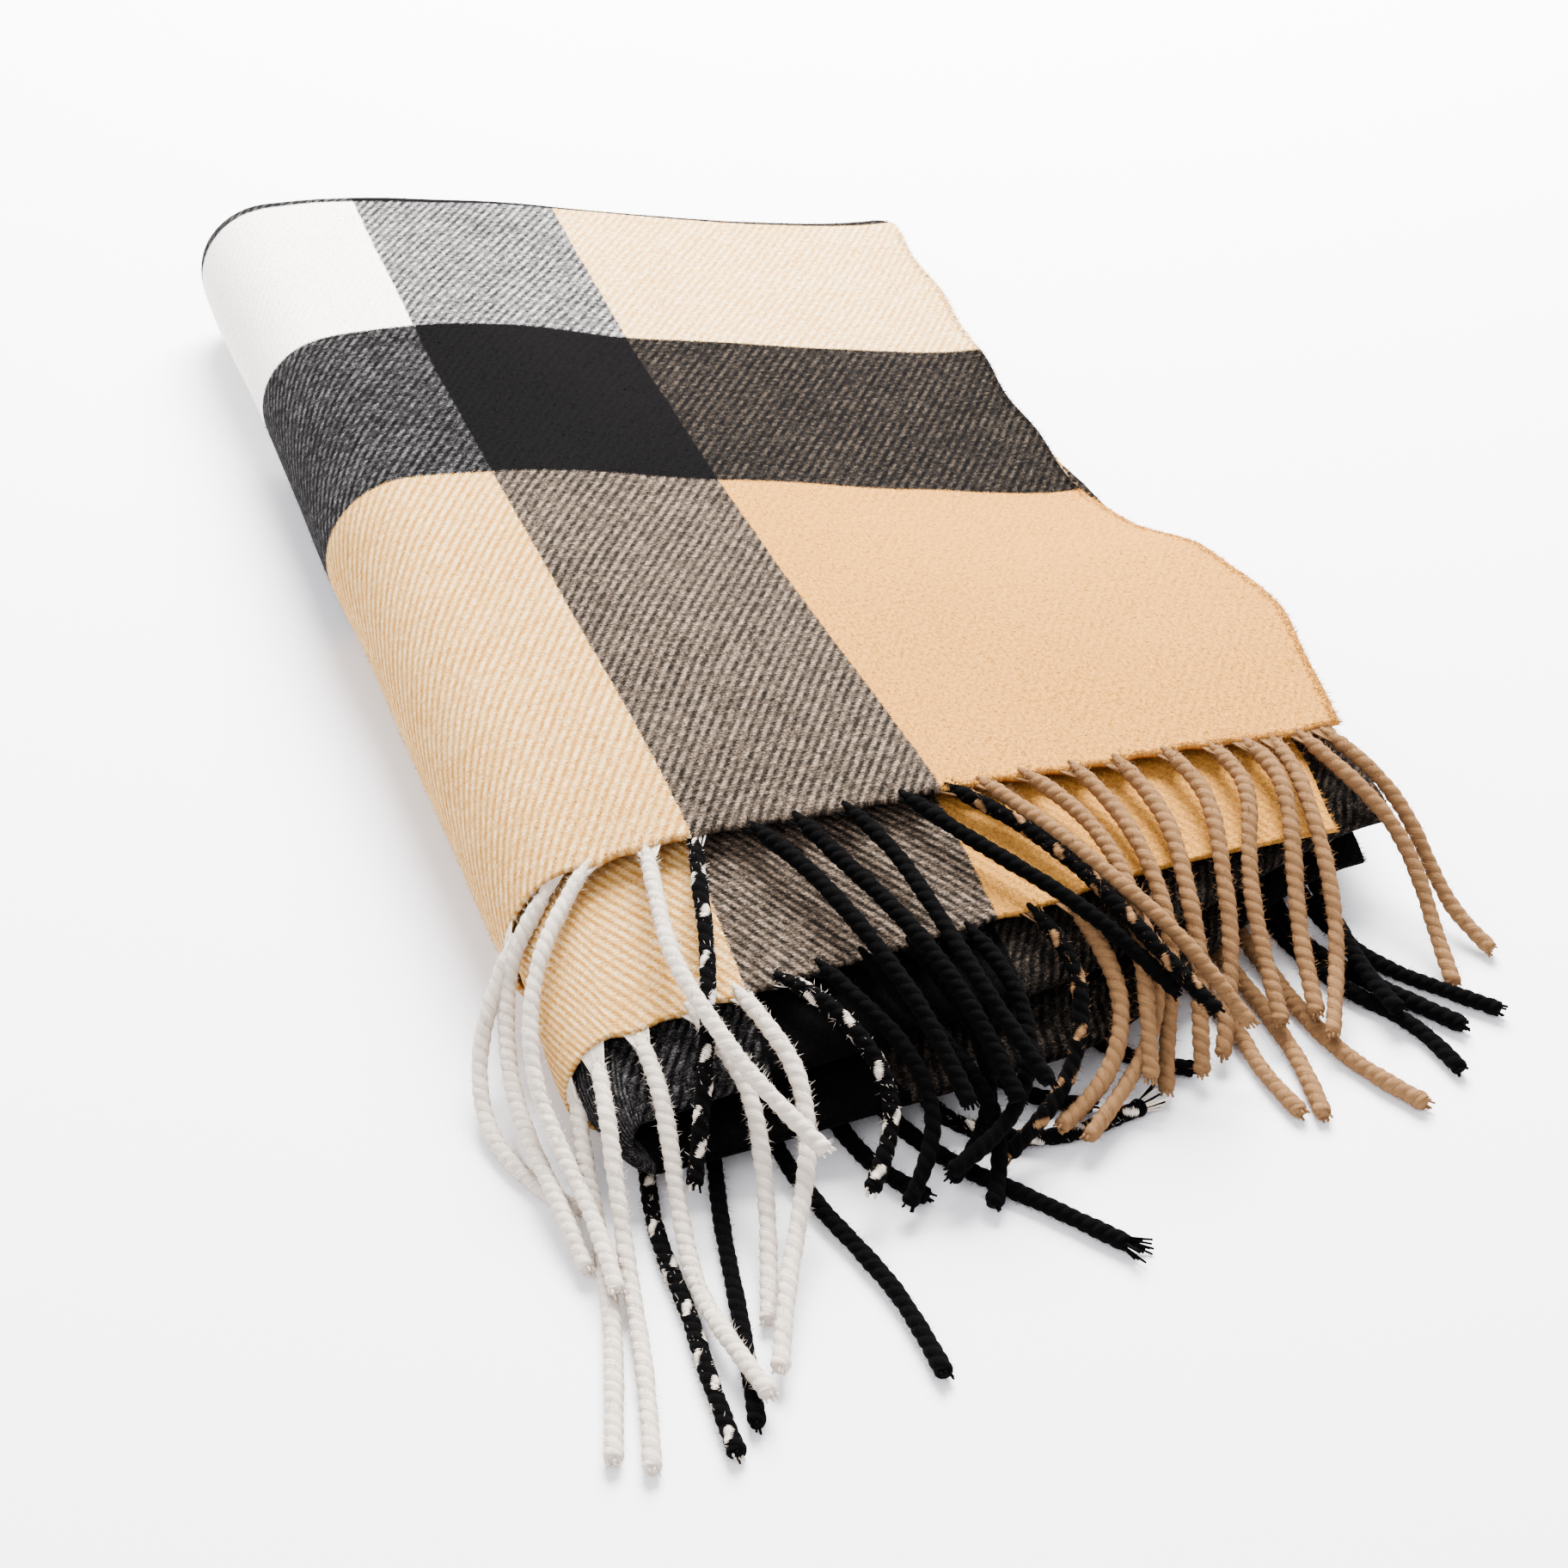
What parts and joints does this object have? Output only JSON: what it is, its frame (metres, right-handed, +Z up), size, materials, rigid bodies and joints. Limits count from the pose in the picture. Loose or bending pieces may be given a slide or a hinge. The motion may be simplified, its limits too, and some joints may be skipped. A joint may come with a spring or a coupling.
{
  "type": "folded woollen throw",
  "caption": "Brushed wool twill throw in a large camel, black and ivory check with a twisted fringe, folded into a flat bundle that rests on a surface.",
  "frame": {"origin": "on the resting plane, under the middle of the folded bundle (80 mm to the selvedge side of the first warp stripe edge)", "axes": "+Z up off the resting plane, +X from the rounded book fold towards the open selvedges, +Y from the fringed ends towards the far fold"},
  "size_m": [0.3261, 0.6368, 0.0609],
  "materials": {
    "checked_cloth": "brushed",
    "camel_fringe": "brushed",
    "ivory_fringe": "brushed",
    "pied_fringe": "brushed",
    "black_fringe": "brushed"
  },
  "bodies": {
    "root": {"far_fold_book": "checked_cloth", "far_fold_lower": "checked_cloth", "far_fold_upper": "checked_cloth", "inner_face_book": "checked_cloth", "inner_face_lower": "checked_cloth", "inner_face_upper": "checked_cloth", "inner_fold_book": "checked_cloth", "inner_fold_lower": "checked_cloth", "inner_fold_upper": "checked_cloth", "near_fold_book": "checked_cloth", "near_fold_lower": "checked_cloth", "near_fold_upper": "checked_cloth", "outer_face_book": "checked_cloth", "outer_face_lower": "checked_cloth", "outer_face_upper": "checked_cloth", "second_layer_book": "checked_cloth", "second_layer_lower": "checked_cloth", "second_layer_upper": "checked_cloth", "tassel_inner_black_1": "black_fringe", "tassel_inner_camel_1": "camel_fringe", "tassel_inner_camel_2": "camel_fringe", "tassel_inner_ivory_1": "ivory_fringe", "tassel_inner_ivory_2": "ivory_fringe", "tassel_inner_ivory_3": "ivory_fringe", "tassel_inner_ivory_4": "ivory_fringe", "tassel_inner_ivory_5": "ivory_fringe", "tassel_inner_pied_1": "pied_fringe", "tassel_inner_pied_2": "pied_fringe", "tassel_lower_black_1": "black_fringe", "tassel_lower_black_2": "black_fringe", "tassel_lower_black_3": "black_fringe", "tassel_lower_camel_1": "camel_fringe", "tassel_lower_camel_2": "camel_fringe", "tassel_lower_camel_3": "camel_fringe", "tassel_lower_pied_1": "pied_fringe", "tassel_lower_pied_2": "pied_fringe", "tassel_outer_black_1": "black_fringe", "tassel_outer_black_2": "black_fringe", "tassel_outer_black_3": "black_fringe", "tassel_outer_black_4": "black_fringe", "tassel_outer_camel_1": "camel_fringe", "tassel_outer_camel_10": "camel_fringe", "tassel_outer_camel_2": "camel_fringe", "tassel_outer_camel_3": "camel_fringe", "tassel_outer_camel_4": "camel_fringe", "tassel_outer_camel_5": "camel_fringe", "tassel_outer_camel_6": "camel_fringe", "tassel_outer_camel_7": "camel_fringe", "tassel_outer_camel_8": "camel_fringe", "tassel_outer_camel_9": "camel_fringe", "tassel_outer_ivory_1": "ivory_fringe", "tassel_outer_ivory_2": "ivory_fringe", "tassel_outer_ivory_3": "ivory_fringe", "tassel_outer_ivory_4": "ivory_fringe", "tassel_outer_pied_1": "pied_fringe", "tassel_outer_pied_2": "pied_fringe", "tassels_black_tangle": "black_fringe", "third_layer_book": "checked_cloth", "third_layer_lower": "checked_cloth", "third_layer_upper": "checked_cloth"}
  },
  "joints": []
}
